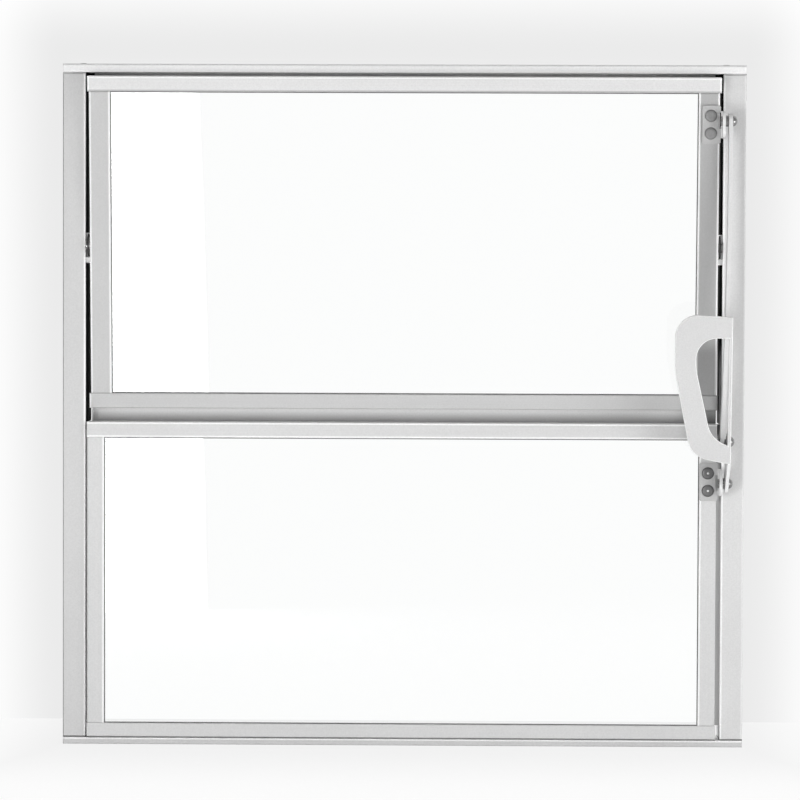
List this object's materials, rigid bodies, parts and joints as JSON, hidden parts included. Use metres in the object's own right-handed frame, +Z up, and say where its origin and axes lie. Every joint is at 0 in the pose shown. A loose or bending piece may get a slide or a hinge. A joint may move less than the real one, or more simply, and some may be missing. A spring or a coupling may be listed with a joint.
{
  "type": "pivot window",
  "caption": "Small aluminium window with a centre-pivoted upper light worked by a side lever and link over a fixed lower light, all in one slim frame.",
  "frame": {"origin": "middle of the sill's underside, where the window sits on the bottom of its wall opening", "axes": "+X to the right seen from the room, +Y out of the building, +Z up; the room is on the -Y side"},
  "size_m": [0.6, 0.0984, 0.6],
  "materials": {
    "natural_aluminium": "satin natural extruded aluminium",
    "stamped_aluminium": "tumbled stamped sheet",
    "plated_steel": "dull plated",
    "pivot_nylon": "matte",
    "clear_glass": "clear float",
    "black_rubber": "matte extruded"
  },
  "bodies": {
    "frame": {"left_jamb": "natural_aluminium", "right_jamb": "natural_aluminium", "head": "natural_aluminium", "sill": "natural_aluminium", "corner_seals": "black_rubber", "side_seals": "black_rubber", "left_pivot_pin": "plated_steel", "right_pivot_pin": "plated_steel", "left_pivot_washer": "pivot_nylon", "right_pivot_washer": "pivot_nylon", "fixed_top_rail": "natural_aluminium", "fixed_bottom_rail": "natural_aluminium", "fixed_left_stile": "natural_aluminium", "fixed_right_stile": "natural_aluminium", "fixed_glass": "clear_glass", "fixed_gasket": "black_rubber", "fixed_beads": "natural_aluminium", "fixed_packer": "natural_aluminium", "sill_gasket": "black_rubber", "lever_bracket": "stamped_aluminium", "fulcrum_pin": "plated_steel"},
    "sash": {"sash_top_rail": "natural_aluminium", "sash_bottom_rail": "natural_aluminium", "sash_left_stile": "natural_aluminium", "sash_right_stile": "natural_aluminium", "sash_glass": "clear_glass", "sash_gasket": "black_rubber", "sash_beads": "natural_aluminium", "link_bracket": "stamped_aluminium", "link_top_pin": "plated_steel"},
    "lever": {"lever_handle": "stamped_aluminium", "lever_pin": "plated_steel"},
    "link": {"link_bar": "stamped_aluminium"}
  },
  "joints": [
    {"name": "sash_pivot", "type": "hinge", "parent": "frame", "child": "sash", "pos_m": [0, -0.011, 0.44], "axis": [1, 0, 0], "range_deg": [-4.5, 35.5]},
    {"name": "lever_fulcrum", "type": "hinge", "parent": "frame", "child": "lever", "pos_m": [0.2835, -0.031, 0.2338], "axis": [1, 0, 0], "range_deg": [-7.43, 58.59]},
    {"name": "link_pivot", "type": "hinge", "parent": "sash", "child": "link", "pos_m": [0.2845, -0.03976, 0.55048], "axis": [1, 0, 0], "range_deg": [-28.23, 3.59]}
  ],
  "couplings": [
    {"joint": "lever_fulcrum", "follows": "sash_pivot", "ratio": 1.65},
    {"joint": "link_pivot", "follows": "sash_pivot", "ratio": -0.795}
  ]
}
